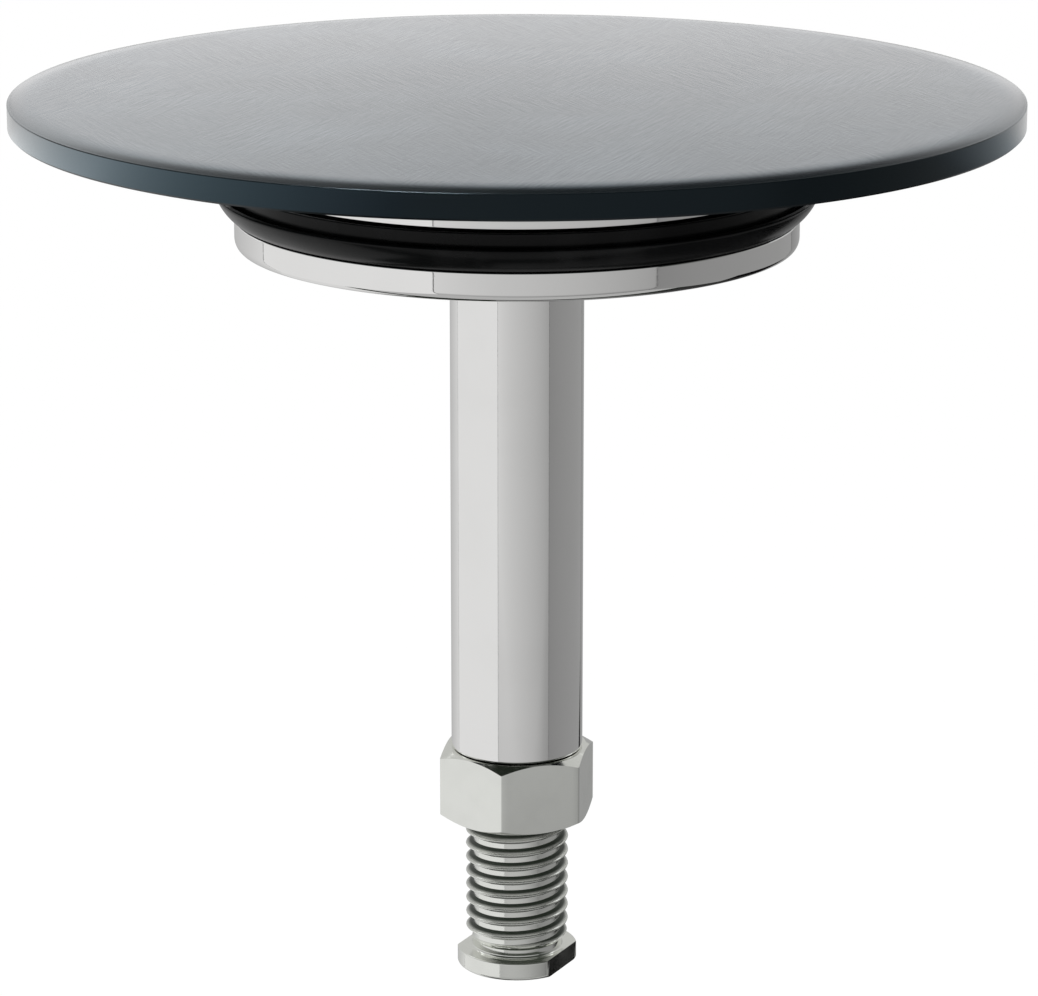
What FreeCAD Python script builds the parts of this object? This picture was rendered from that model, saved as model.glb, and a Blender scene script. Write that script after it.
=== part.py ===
# Pop-up bath drain stopper: a round cover on a spool hub with a flared lip seal, carried by a round stem
# that ends in a lock nut and an adjusting screw with a flanged foot. Millimetres, +Z up.
# The origin lies on the axis, half way up the hub's lower ring, where the hub sits in the drain.
import FreeCAD
import Part
import Sketcher
import os

doc = FreeCAD.newDocument("drain_stopper")

# Driving dimensions
SIZES = {
    "disc_diameter": 72.0,
    "disc_thickness": 2.05,
    "disc_roll_drop": 0.3,
    "disc_roll_width": 3.8,
    "disc_top_round": 0.15,
    "disc_low_bevel": 0.15,
    "hub_diameter": 40.4,
    "hub_upper_band": 3.94,
    "hub_lower_ring": 2.0,
    "hub_low_round": 0.45,
    "hub_floor": 2.2,
    "hub_wall": 2.0,
    "hub_boss_diameter": 12.0,
    "seal_groove_width": 2.86,
    "seal_groove_depth": 1.6,
    "seal_play": 0.03,
    "lip_reach": 1.45,
    "lip_rise": 1.85,
    "lip_rim": 0.4,
    "lip_edge_round": 0.12,
    "lip_root_rise": 0.9,
    "bead_reach": 0.5,
    "bead_round": 0.3,
    "stud_diameter": 6.0,
    "stud_engagement": 7.0,
    "stud_end_gap": 1.0,
    "stud_play": 0.05,
    "stud_bevel": 0.5,
    "stem_wall": 0.99,
    "stem_length": 38.0,
    "stem_edge": 0.15,
    "screw_diameter": 7.6,
    "screw_length": 27.05,
    "screw_projection": 17.1,
    "screw_play": 0.05,
    "screw_bore_depth": 20.0,
    "screw_point": 0.5,
    "bore_bevel": 0.25,
    "nut_wall": 1.35,
    "nut_height": 5.3,
    "nut_gap": 0.05,
    "nut_chamfer_angle": 30.0,
    "nut_angle": 19.0,
    "neck_cut": 0.48,
    "neck_length": 1.1,
    "foot_flange": 0.65,
    "foot_thickness": 1.35,
    "foot_flat_cut": 0.675,
    "foot_round": 0.25,
    "foot_angle": 152.3,
}
sheet = doc.addObject("Spreadsheet::Sheet", "Sizes")
for row, (alias, value) in enumerate(SIZES.items(), start=1):
    sheet.set(f"A{row}", alias)
    sheet.set(f"B{row}", str(value))
    sheet.setAlias(f"B{row}", alias)
doc.recompute()

# Heights along the axis, worked out from the driving dimensions
HUB_HEIGHT = "(Sizes.hub_lower_ring + Sizes.seal_groove_width + Sizes.hub_upper_band)"
HUB_BOTTOM = "(-Sizes.hub_lower_ring / 2)"
DISC_UNDERSIDE = f"({HUB_BOTTOM} + {HUB_HEIGHT})"
STEM_END = f"({HUB_BOTTOM} - Sizes.stem_length)"
NUT_BOTTOM = f"({STEM_END} - Sizes.nut_gap - Sizes.nut_height)"
FOOT_BOTTOM = f"({STEM_END} - Sizes.screw_projection)"

# Radii that two pieces share
DISC_RADIUS = "(Sizes.disc_diameter / 2)"
HUB_RADIUS = "(Sizes.hub_diameter / 2)"
GROOVE_RADIUS = f"({HUB_RADIUS} - Sizes.seal_groove_depth)"
LIP_RADIUS = f"({HUB_RADIUS} + Sizes.lip_reach)"
BEAD_RADIUS = f"({HUB_RADIUS} + Sizes.bead_reach)"
STUD_BORE_RADIUS = "(Sizes.stud_diameter / 2 + Sizes.stud_play)"
SCREW_RADIUS = "(Sizes.screw_diameter / 2)"
SCREW_BORE_RADIUS = f"({SCREW_RADIUS} + Sizes.screw_play)"
STEM_RADIUS = f"({SCREW_BORE_RADIUS} + Sizes.stem_wall)"
NUT_FLAT_RADIUS = f"({SCREW_BORE_RADIUS} + Sizes.nut_wall)"
NUT_CORNER_RADIUS = f"({NUT_FLAT_RADIUS} * 2 / sqrt(3))"
NECK_RADIUS = f"({SCREW_RADIUS} - Sizes.neck_cut)"
FOOT_RADIUS = f"({SCREW_RADIUS} + Sizes.foot_flange)"

ORIGIN_POINT = (-1, 1)
X_AXIS_INDEX = -1
Y_AXIS_INDEX = -2
START_INDEX = 1
END_INDEX = 2
CENTRE_INDEX = 3
FULL_TURN = 360
HEX_CORNERS = 6
ON_AXIS = "0"
SAME_PLACE = 1e-4


def make_body(label, height, turn=None):
    body = doc.addObject("PartDesign::Body", label)
    body.Label = label
    body.Placement = FreeCAD.Placement(FreeCAD.Vector(0, 0, 0), FreeCAD.Rotation(FreeCAD.Vector(0, 0, 1), 1))
    body.setExpression("Placement.Rotation.Angle", f"{turn or 0} * 1 deg")
    body.setExpression("Placement.Base.z", f"{height} * 1 mm")
    return body


def new_sketch(body, name, plane, height=None):
    sketch = body.newObject("Sketcher::SketchObject", name)
    origin_plane = [f for f in body.Origin.OriginFeatures if f.Role == plane][0]
    sketch.AttachmentSupport = [(origin_plane, "")]
    sketch.MapMode = "FlatFace"
    if height:
        sketch.setExpression("AttachmentOffset.Base.z", f"{height} * 1 mm")
    return sketch


def draw_polygon(sketch, corners):
    # A closed outline whose corners are each tied to the sheet across and along the sketch.
    first = sketch.GeometryCount
    count = len(corners)
    guess = [FreeCAD.Vector(*[read(sketch, c) for c in corner], 0) for corner in corners]
    for i in range(count):
        sketch.addGeometry(Part.LineSegment(guess[i], guess[(i + 1) % count]))
    for i in range(count):
        sketch.addConstraint(Sketcher.Constraint("Coincident", first + i, END_INDEX, first + (i + 1) % count,
                                                   START_INDEX))
    for i, (across, along) in enumerate(corners):
        hold(sketch, first + i, "DistanceX", Y_AXIS_INDEX, across)
        hold(sketch, first + i, "DistanceY", X_AXIS_INDEX, along)


def read(owner, expression):
    return float(getattr(owner.evalExpression(expression), "Value", owner.evalExpression(expression)))


def hold(sketch, line, kind, axis, expression):
    if expression == ON_AXIS:
        sketch.addConstraint(Sketcher.Constraint("PointOnObject", line, START_INDEX, axis))
        return
    value = read(sketch, expression)
    index = sketch.addConstraint(Sketcher.Constraint(kind, *ORIGIN_POINT, line, START_INDEX, value))
    sketch.setExpression(f"Constraints[{index}]", expression)


def draw_circle(sketch, radius):
    circle = Part.Circle(FreeCAD.Vector(0, 0, 0), FreeCAD.Vector(0, 0, 1), read(sketch, radius))
    index = sketch.addGeometry(circle)
    sketch.addConstraint(Sketcher.Constraint("Coincident", index, CENTRE_INDEX, *ORIGIN_POINT))
    held = sketch.addConstraint(Sketcher.Constraint("Radius", index, read(sketch, radius)))
    sketch.setExpression(f"Constraints[{held}]", radius)


def pad(body, name, sketch, length):
    feature = body.newObject("PartDesign::Pad", name)
    feature.Profile = sketch
    feature.setExpression("Length", length)
    doc.recompute()
    return feature


def pocket(body, name, sketch, depth, upward):
    # A cut from the sketch's plane into the solid, which has to take material away.
    before = body.Shape.Volume
    feature = body.newObject("PartDesign::Pocket", name)
    feature.Profile = sketch
    feature.Reversed = upward
    feature.setExpression("Length", depth)
    doc.recompute()
    if not body.Shape.Volume < before:
        raise ValueError(f"{name} removes nothing")
    return feature


def revolve(body, name, sketch, kind="PartDesign::Revolution"):
    feature = body.newObject(kind, name)
    feature.Profile = sketch
    feature.ReferenceAxis = (sketch, ["V_Axis"])
    feature.Angle = FULL_TURN
    doc.recompute()
    return feature


def ring_edges(feature, radius, height):
    # The round edges of a solid at one radius and height, in the body's own frame.
    names = []
    for i, edge in enumerate(feature.Shape.Edges, start=1):
        curve = edge.Curve
        if not isinstance(curve, Part.Circle):
            continue
        if abs(curve.Radius - radius) < SAME_PLACE and abs(curve.Center.z - height) < SAME_PLACE:
            names.append(f"Edge{i}")
    if not names:
        raise ValueError(f"no edge of radius {radius} at {height}")
    return names


def dress(body, kind, name, base, radius, height, amount):
    feature = body.newObject(kind, name)
    where = ring_edges(base, read(sheet, radius), read(sheet, height))
    feature.Base = (base, where)
    feature.setExpression("Radius" if kind.endswith("Fillet") else "Size", amount)
    doc.recompute()
    return feature


def fillet(body, name, base, radius, height, amount):
    return dress(body, "PartDesign::Fillet", name, base, radius, height, amount)


def chamfer(body, name, base, radius, height, amount):
    return dress(body, "PartDesign::Chamfer", name, base, radius, height, amount)


# Cover disc: a plate whose flat top rolls off towards an eased edge, with a fine bevel below
cover_disc = make_body("cover_disc", DISC_UNDERSIDE)
disc_profile = new_sketch(cover_disc, "DiscProfile", "XZ_Plane")
disc_edge_height = "(Sizes.disc_thickness - Sizes.disc_roll_drop)"
disc_roll_radius = f"({DISC_RADIUS} - Sizes.disc_roll_width / 2)"
draw_polygon(disc_profile, [
    (ON_AXIS, ON_AXIS),
    (DISC_RADIUS, ON_AXIS),
    (DISC_RADIUS, disc_edge_height),
    (disc_roll_radius, "Sizes.disc_thickness"),
    (ON_AXIS, "Sizes.disc_thickness"),
])
disc_turned = revolve(cover_disc, "DiscTurned", disc_profile)
# The roll is an arc that runs from the flat top to the edge round.
disc_roll_reach = "(Sizes.disc_roll_width / 2 - 2 * Sizes.disc_top_round)"
disc_roll_slope = "atan(2 * Sizes.disc_roll_drop / Sizes.disc_roll_width)"
disc_rolled = fillet(cover_disc, "DiscRoll", disc_turned, disc_roll_radius, "Sizes.disc_thickness",
                     f"{disc_roll_reach} / tan({disc_roll_slope} / 2)")
disc_top = fillet(cover_disc, "DiscTopRound", disc_rolled, DISC_RADIUS, disc_edge_height, "Sizes.disc_top_round")
chamfer(cover_disc, "DiscLowBevel", disc_top, DISC_RADIUS, ON_AXIS, "Sizes.disc_low_bevel")

# Cover stud: stands on the disc's underside, passes through the hub and screws into the stem
cover_stud = make_body("cover_stud", DISC_UNDERSIDE)
stud_length = f"({HUB_HEIGHT} + Sizes.stud_engagement)"
stud_profile = new_sketch(cover_stud, "StudProfile", "XZ_Plane")
draw_polygon(stud_profile, [
    (ON_AXIS, ON_AXIS),
    (ON_AXIS, f"-{stud_length}"),
    ("Sizes.stud_diameter / 2 - Sizes.stud_bevel", f"-{stud_length}"),
    ("Sizes.stud_diameter / 2", f"-{stud_length} + Sizes.stud_bevel"),
    ("Sizes.stud_diameter / 2", ON_AXIS),
])
revolve(cover_stud, "StudTurned", stud_profile)

# Seal hub: a spool with the seal's groove round it, hollow under the disc about a boss for the stud
seal_hub = make_body("seal_hub", HUB_BOTTOM)
hub_profile = new_sketch(seal_hub, "HubProfile", "XZ_Plane")
groove_low = "Sizes.hub_lower_ring"
groove_high = "(Sizes.hub_lower_ring + Sizes.seal_groove_width)"
cavity_radius = f"({GROOVE_RADIUS} - Sizes.hub_wall)"
draw_polygon(hub_profile, [
    (STUD_BORE_RADIUS, ON_AXIS),
    (HUB_RADIUS, ON_AXIS),
    (HUB_RADIUS, groove_low),
    (GROOVE_RADIUS, groove_low),
    (GROOVE_RADIUS, groove_high),
    (HUB_RADIUS, groove_high),
    (HUB_RADIUS, HUB_HEIGHT),
    (cavity_radius, HUB_HEIGHT),
    (cavity_radius, "Sizes.hub_floor"),
    ("Sizes.hub_boss_diameter / 2", "Sizes.hub_floor"),
    ("Sizes.hub_boss_diameter / 2", HUB_HEIGHT),
    (STUD_BORE_RADIUS, HUB_HEIGHT),
])
hub_turned = revolve(seal_hub, "HubTurned", hub_profile)
fillet(seal_hub, "HubLowRound", hub_turned, HUB_RADIUS, ON_AXIS, "Sizes.hub_low_round")

# Lip seal: a ring in the hub's groove with a bead above and a lip that flares up and outward below
lip_seal = make_body("lip_seal", f"({HUB_BOTTOM} + Sizes.hub_lower_ring)")
seal_profile = new_sketch(lip_seal, "SealProfile", "XZ_Plane")
seal_inside = f"({GROOVE_RADIUS} + Sizes.seal_play)"
seal_top = "(Sizes.seal_groove_width - Sizes.seal_play)"
draw_polygon(seal_profile, [
    (seal_inside, "Sizes.seal_play"),
    (HUB_RADIUS, "Sizes.seal_play"),
    (LIP_RADIUS, "Sizes.lip_rise"),
    (f"{LIP_RADIUS} - Sizes.lip_rim", "Sizes.lip_rise"),
    (BEAD_RADIUS, "Sizes.lip_root_rise"),
    (BEAD_RADIUS, seal_top),
    (seal_inside, seal_top),
])
seal_turned = revolve(lip_seal, "SealTurned", seal_profile)
seal_beaded = fillet(lip_seal, "BeadRound", seal_turned, BEAD_RADIUS, seal_top, "Sizes.bead_round")
fillet(lip_seal, "LipEdgeRound", seal_beaded, LIP_RADIUS, "Sizes.lip_rise", "Sizes.lip_edge_round")

# Stem: a round bar drilled at the top for the stud and at the bottom for the adjusting screw
stem = make_body("stem", STEM_END)
stem_outline = new_sketch(stem, "StemOutline", "XY_Plane")
draw_circle(stem_outline, STEM_RADIUS)
stem_bar = pad(stem, "StemBar", stem_outline, "Sizes.stem_length")
stud_bore = new_sketch(stem, "StudBore", "XY_Plane", "Sizes.stem_length")
draw_circle(stud_bore, STUD_BORE_RADIUS)
pocket(stem, "StudBoreCut", stud_bore, "Sizes.stud_engagement + Sizes.stud_end_gap", False)
screw_bore = new_sketch(stem, "ScrewBore", "XY_Plane")
draw_circle(screw_bore, SCREW_BORE_RADIUS)
stem_bored = pocket(stem, "ScrewBoreCut", screw_bore, "Sizes.screw_bore_depth", True)
stem_mouth = chamfer(stem, "ScrewBoreMouth", stem_bored, SCREW_BORE_RADIUS, ON_AXIS, "Sizes.bore_bevel")
chamfer(stem, "StemLowEdge", stem_mouth, STEM_RADIUS, ON_AXIS, "Sizes.stem_edge")

# Lock nut: a hexagon turned down at both ends, free to run on the screw
lock_nut = make_body("lock_nut", NUT_BOTTOM, "Sizes.nut_angle")
nut_outline = new_sketch(lock_nut, "NutOutline", "XY_Plane")
corners = []
for k in range(HEX_CORNERS):
    angle = f"{FULL_TURN // HEX_CORNERS * k} deg"
    on_x_axis = k % (HEX_CORNERS // 2) == 0
    corners.append((f"{NUT_CORNER_RADIUS} * cos({angle})",
                    ON_AXIS if on_x_axis else f"{NUT_CORNER_RADIUS} * sin({angle})"))
draw_polygon(nut_outline, corners)
nut_blank = pad(lock_nut, "NutBlank", nut_outline, "Sizes.nut_height")
nut_hole = new_sketch(lock_nut, "NutHole", "XY_Plane")
draw_circle(nut_hole, SCREW_BORE_RADIUS)
nut_bored = pocket(lock_nut, "NutHoleCut", nut_hole, "Sizes.nut_height", True)
nut_mouth = chamfer(lock_nut, "NutTopMouth", nut_bored, SCREW_BORE_RADIUS, "Sizes.nut_height",
                    "Sizes.bore_bevel")
nut_drilled = chamfer(lock_nut, "NutLowMouth", nut_mouth, SCREW_BORE_RADIUS, ON_AXIS, "Sizes.bore_bevel")
nut_ends = new_sketch(lock_nut, "NutEnds", "XZ_Plane")
clear_radius = f"({NUT_FLAT_RADIUS} * 2)"
chamfer_drop = f"(({clear_radius} - {NUT_FLAT_RADIUS}) * tan(Sizes.nut_chamfer_angle * 1 deg))"
draw_polygon(nut_ends, [
    (NUT_FLAT_RADIUS, "Sizes.nut_height"),
    (clear_radius, f"Sizes.nut_height - {chamfer_drop}"),
    (clear_radius, "Sizes.nut_height"),
])
nut_top_turned = revolve(lock_nut, "NutTopTurned", nut_ends, "PartDesign::Groove")
nut_low_ends = new_sketch(lock_nut, "NutLowEnds", "XZ_Plane")
draw_polygon(nut_low_ends, [
    (NUT_FLAT_RADIUS, ON_AXIS),
    (clear_radius, ON_AXIS),
    (clear_radius, chamfer_drop),
])
revolve(lock_nut, "NutLowTurned", nut_low_ends, "PartDesign::Groove")

# Adjusting screw: a shank, a short neck below it and a flanged foot with two spanner flats
adjusting_screw = make_body("adjusting_screw", FOOT_BOTTOM, "Sizes.foot_angle")
screw_profile = new_sketch(adjusting_screw, "ScrewProfile", "XZ_Plane")
neck_top = "(Sizes.foot_thickness + Sizes.neck_length)"
draw_polygon(screw_profile, [
    (ON_AXIS, ON_AXIS),
    (FOOT_RADIUS, ON_AXIS),
    (FOOT_RADIUS, "Sizes.foot_thickness"),
    (NECK_RADIUS, "Sizes.foot_thickness"),
    (NECK_RADIUS, f"{neck_top} - Sizes.neck_cut"),
    (SCREW_RADIUS, neck_top),
    (SCREW_RADIUS, "Sizes.screw_length - Sizes.screw_point"),
    (f"{SCREW_RADIUS} - Sizes.screw_point", "Sizes.screw_length"),
    (ON_AXIS, "Sizes.screw_length"),
])
screw_turned = revolve(adjusting_screw, "ScrewTurned", screw_profile)
fillet(adjusting_screw, "FootRound", screw_turned, FOOT_RADIUS, ON_AXIS, "Sizes.foot_round")
foot_sides = new_sketch(adjusting_screw, "FootSides", "XY_Plane")
foot_side = f"({FOOT_RADIUS} - Sizes.foot_flat_cut)"
foot_reach = f"({FOOT_RADIUS} * 2)"
for side in ("", "-"):
    draw_polygon(foot_sides, [
        (f"{side}{foot_side}", f"-{foot_reach}"),
        (f"{side}{foot_reach}", f"-{foot_reach}"),
        (f"{side}{foot_reach}", foot_reach),
        (f"{side}{foot_side}", foot_reach),
    ])
pocket(adjusting_screw, "FootFlats", foot_sides, "Sizes.foot_thickness", True)

doc.recompute()
pieces = [cover_disc, cover_stud, seal_hub, lip_seal, stem, lock_nut, adjusting_screw]
for item in doc.Objects:
    if "Invalid" in item.State or "Error" in item.State:
        raise RuntimeError(f"{item.Name} failed: {item.State}")
for piece in pieces:
    if piece.Shape.isNull() or not piece.Shape.isValid() or len(piece.Shape.Solids) != 1:
        raise RuntimeError(f"{piece.Label} has no single valid solid")

os.makedirs("parts", exist_ok=True)
for piece in pieces:
    piece.Shape.exportStep(f"parts/{piece.Label}.step")
    box = piece.Shape.BoundBox
    print(f"{piece.Label}: {piece.Shape.Volume:.1f} mm3, z {box.ZMin:.2f} to {box.ZMax:.2f}")
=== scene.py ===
# Looks of a pop-up bath drain stopper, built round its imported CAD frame
import bpy
import bmesh
import math
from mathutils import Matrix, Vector


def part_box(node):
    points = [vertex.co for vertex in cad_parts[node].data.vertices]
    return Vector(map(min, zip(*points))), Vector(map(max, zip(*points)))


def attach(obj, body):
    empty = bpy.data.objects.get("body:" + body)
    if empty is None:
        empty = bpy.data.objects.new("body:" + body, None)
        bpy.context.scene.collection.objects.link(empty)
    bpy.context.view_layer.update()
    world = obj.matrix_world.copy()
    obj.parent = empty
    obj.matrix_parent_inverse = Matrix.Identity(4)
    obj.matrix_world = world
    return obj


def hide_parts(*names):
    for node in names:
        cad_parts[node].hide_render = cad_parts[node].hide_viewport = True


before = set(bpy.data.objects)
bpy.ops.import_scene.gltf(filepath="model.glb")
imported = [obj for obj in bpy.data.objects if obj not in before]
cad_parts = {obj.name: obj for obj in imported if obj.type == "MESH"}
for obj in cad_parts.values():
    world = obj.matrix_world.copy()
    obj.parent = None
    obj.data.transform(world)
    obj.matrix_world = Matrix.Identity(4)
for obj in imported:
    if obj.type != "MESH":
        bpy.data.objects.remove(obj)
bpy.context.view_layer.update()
mm = 0.001
weld = 1e-7  # points closer than this many metres become one
scene = bpy.context.scene
print("frame loaded:", sorted(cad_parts))


# the span of a turned CAD node in mm: bottom, top, outer radius
def nodeSpan(node):
    low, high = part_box(node)
    reach = max(-low.x, -low.y, high.x, high.y)
    return low.z / mm, high.z / mm, reach / mm


# points of an arc in the profile plane, angles in degrees from outward
def arc(centreR, centreZ, radius, start, end, steps=8):
    points = []
    for i in range(steps + 1):
        a = math.radians(start + (end - start) * i / steps)
        points.append((centreR + radius * math.cos(a), centreZ + radius * math.sin(a)))
    return points


# extra rings beside every corner keep long faces flat under smooth shading
def braced(profile, closed, inset=0.04):
    count = len(profile)
    result = []
    for i in range(count if closed else count - 1):
        a = Vector(profile[i])
        b = Vector(profile[(i + 1) % count])
        result.append(tuple(a))
        run = b - a
        if run.length > 6 * inset:
            step = run.normalized() * inset
            result.append(tuple(a + step))
            result.append(tuple(b - step))
    if not closed:
        result.append(profile[-1])
    return result


# joins two rings of points, either of which may be one point on the axis
def joinRings(bm, first, second):
    count = max(len(first), len(second))
    for j in range(count):
        k = (j + 1) % count
        if len(first) == 1:
            bm.faces.new((first[0], second[j], second[k]))
        elif len(second) == 1:
            bm.faces.new((first[j], second[0], first[k]))
        else:
            bm.faces.new((first[j], second[j], second[k], first[k]))


# a profile in mm turned about the axis; it closes on itself unless it starts and ends on the axis
def turnProfile(bm, profile, sides):
    closed = profile[0][0] > 0
    rings = []
    for r, z in braced(profile, closed):
        if r < 1e-6:
            rings.append([bm.verts.new((0, 0, z * mm))])
            continue
        ring = []
        for j in range(sides):
            a = 2 * math.pi * j / sides
            ring.append(bm.verts.new((r * mm * math.cos(a), r * mm * math.sin(a), z * mm)))
        rings.append(ring)
    for i in range(len(rings) - 1):
        joinRings(bm, rings[i], rings[i + 1])
    if closed:
        joinRings(bm, rings[-1], rings[0])


# a finished piece from a bmesh: outward faces, smooth with sharp corners, riding on its body
def finishPiece(name, bm, material, body, node, sharp=32):
    bmesh.ops.remove_doubles(bm, verts=bm.verts[:], dist=weld)
    bmesh.ops.recalc_face_normals(bm, faces=bm.faces[:])
    mesh = bpy.data.meshes.new(name)
    bm.to_mesh(mesh)
    bm.free()
    mesh.polygons.foreach_set("use_smooth", [True] * len(mesh.polygons))
    mesh.set_sharp_from_angle(angle=math.radians(sharp))
    mesh.materials.append(material)
    piece = bpy.data.objects.new(name, mesh)
    scene.collection.objects.link(piece)
    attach(piece, body)
    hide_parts(node)
    print(name, "made with", len(mesh.polygons), "faces")
    return piece


def makeGroup(name, inputs, output):
    tree = bpy.data.node_groups.new(name, "ShaderNodeTree")
    for label, kind, value in inputs:
        socket = tree.interface.new_socket(name=label, in_out="INPUT", socket_type=kind)
        if value is not None:
            socket.default_value = value
    tree.interface.new_socket(name=output, in_out="OUTPUT", socket_type="NodeSocketFloat")
    return tree, tree.nodes.new("NodeGroupInput"), tree.nodes.new("NodeGroupOutput")


def addNode(tree, kind, **settings):
    node = tree.nodes.new(kind)
    for key, value in settings.items():
        setattr(node, key, value)
    return node


# fine straight marks in one direction across the piece
def brushLinesGroup():
    tree, given, result = makeGroup("brushLines", (
        ("Vector", "NodeSocketVector", None),
        ("Angle", "NodeSocketFloat", 0.0),
        ("Fineness", "NodeSocketFloat", 2800.0),
        ("Stretch", "NodeSocketFloat", 12.0),
        ("Low", "NodeSocketFloat", 0.35),
        ("High", "NodeSocketFloat", 0.65),
    ), "Lines")
    turn = addNode(tree, "ShaderNodeVectorRotate", rotation_type="Z_AXIS")
    along = addNode(tree, "ShaderNodeMath", operation="DIVIDE")
    scale = addNode(tree, "ShaderNodeCombineXYZ")
    spread = addNode(tree, "ShaderNodeVectorMath", operation="MULTIPLY")
    noise = addNode(tree, "ShaderNodeTexNoise")
    noise.inputs["Scale"].default_value = 1
    noise.inputs["Detail"].default_value = 3
    noise.inputs["Roughness"].default_value = 0.6
    level = addNode(tree, "ShaderNodeMapRange")
    link = tree.links.new
    link(given.outputs["Vector"], turn.inputs["Vector"])
    link(given.outputs["Angle"], turn.inputs["Angle"])
    link(given.outputs["Fineness"], along.inputs[0])
    link(given.outputs["Stretch"], along.inputs[1])
    link(along.outputs[0], scale.inputs["X"])
    link(given.outputs["Fineness"], scale.inputs["Y"])
    link(given.outputs["Fineness"], scale.inputs["Z"])
    link(turn.outputs["Vector"], spread.inputs[0])
    link(scale.outputs["Vector"], spread.inputs[1])
    link(spread.outputs["Vector"], noise.inputs["Vector"])
    link(noise.outputs["Fac"], level.inputs["Value"])
    link(given.outputs["Low"], level.inputs["From Min"])
    link(given.outputs["High"], level.inputs["From Max"])
    link(level.outputs["Result"], result.inputs["Lines"])
    return tree


# soft uneven patches
def softPatchesGroup():
    tree, given, result = makeGroup("softPatches", (
        ("Vector", "NodeSocketVector", None),
        ("Scale", "NodeSocketFloat", 60.0),
        ("Detail", "NodeSocketFloat", 3.0),
        ("Low", "NodeSocketFloat", 0.4),
        ("High", "NodeSocketFloat", 0.65),
    ), "Mask")
    noise = addNode(tree, "ShaderNodeTexNoise")
    noise.inputs["Roughness"].default_value = 0.55
    level = addNode(tree, "ShaderNodeMapRange", interpolation_type="SMOOTHSTEP")
    link = tree.links.new
    link(given.outputs["Vector"], noise.inputs["Vector"])
    link(given.outputs["Scale"], noise.inputs["Scale"])
    link(given.outputs["Detail"], noise.inputs["Detail"])
    link(noise.outputs["Fac"], level.inputs["Value"])
    link(given.outputs["Low"], level.inputs["From Min"])
    link(given.outputs["High"], level.inputs["From Max"])
    link(level.outputs["Result"], result.inputs["Mask"])
    return tree


brushLines = brushLinesGroup()
softPatches = softPatchesGroup()


def newFinish(name):
    material = bpy.data.materials.new(name)
    material.use_nodes = True
    tree = material.node_tree
    tree.nodes.clear()
    out = tree.nodes.new("ShaderNodeOutputMaterial")
    shader = tree.nodes.new("ShaderNodeBsdfPrincipled")
    tree.links.new(shader.outputs["BSDF"], out.inputs["Surface"])
    place = tree.nodes.new("ShaderNodeTexCoord").outputs["Object"]
    return material, tree, shader, place


# a shared group placed in a material with its own values
def placeGroup(tree, group, place, **values):
    node = tree.nodes.new("ShaderNodeGroup")
    node.node_tree = group
    tree.links.new(place, node.inputs["Vector"])
    for key, value in values.items():
        node.inputs[key].default_value = value
    return node.outputs[0]


def mixValues(tree, fac, low, high):
    node = addNode(tree, "ShaderNodeMapRange")
    tree.links.new(fac, node.inputs["Value"])
    node.inputs["To Min"].default_value = low
    node.inputs["To Max"].default_value = high
    return node.outputs["Result"]


# soft step of a value between two bounds, from 0 to 1
def spreadFrom(tree, value, low, high):
    node = addNode(tree, "ShaderNodeMapRange", interpolation_type="SMOOTHSTEP")
    tree.links.new(value, node.inputs["Value"])
    node.inputs["From Min"].default_value = low
    node.inputs["From Max"].default_value = high
    return node.outputs["Result"]


def mathOf(tree, operation, first, second):
    node = addNode(tree, "ShaderNodeMath", operation=operation)
    for slot, value in enumerate((first, second)):
        if isinstance(value, (int, float)):
            node.inputs[slot].default_value = value
        else:
            tree.links.new(value, node.inputs[slot])
    return node.outputs[0]


def mixColours(tree, fac, first, second):
    node = addNode(tree, "ShaderNodeMix", data_type="RGBA")
    tree.links.new(fac, node.inputs[0])
    for slot, value in ((6, first), (7, second)):
        if isinstance(value, tuple):
            node.inputs[slot].default_value = (*value, 1)
        else:
            tree.links.new(value, node.inputs[slot])
    return node.outputs[2]


def addBump(tree, shader, height, strength, distance):
    bump = addNode(tree, "ShaderNodeBump")
    bump.inputs["Strength"].default_value = strength
    bump.inputs["Distance"].default_value = distance
    tree.links.new(height, bump.inputs["Height"])
    tree.links.new(bump.outputs["Normal"], shader.inputs["Normal"])


# dark slate coat of the cover; its top is brushed in crossing strokes and has paler clouds
slate = {
    "deep": (0.0022, 0.0036, 0.0044),
    "brushed": (0.0105, 0.0142, 0.017),
    "pale": (0.0165, 0.0225, 0.027),
    "bloom": (0.0235, 0.0305, 0.036),
    "roughness": (0.215, 0.245),
    "ior": 1.35,
    "gleam": (0.62, 0.85, 1.0),
    "brushedAbove": (0.00972, 0.00984),  # heights in metres
    "strokeAngles": (1.18, -1.22),
    "strokes": {"Fineness": 5000, "Stretch": 14},
    "chooser": {"Scale": 90, "Low": 0.35, "High": 0.65},
    "clouds": {"Scale": 70, "Detail": 3, "Low": 0.4, "High": 0.85},
    "cloudRange": (0.35, 1.0),
    "blooms": {"Scale": 100, "Detail": 3, "Low": 0.38, "High": 0.8},
    "bump": (0.27, 0.00002),
}


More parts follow.
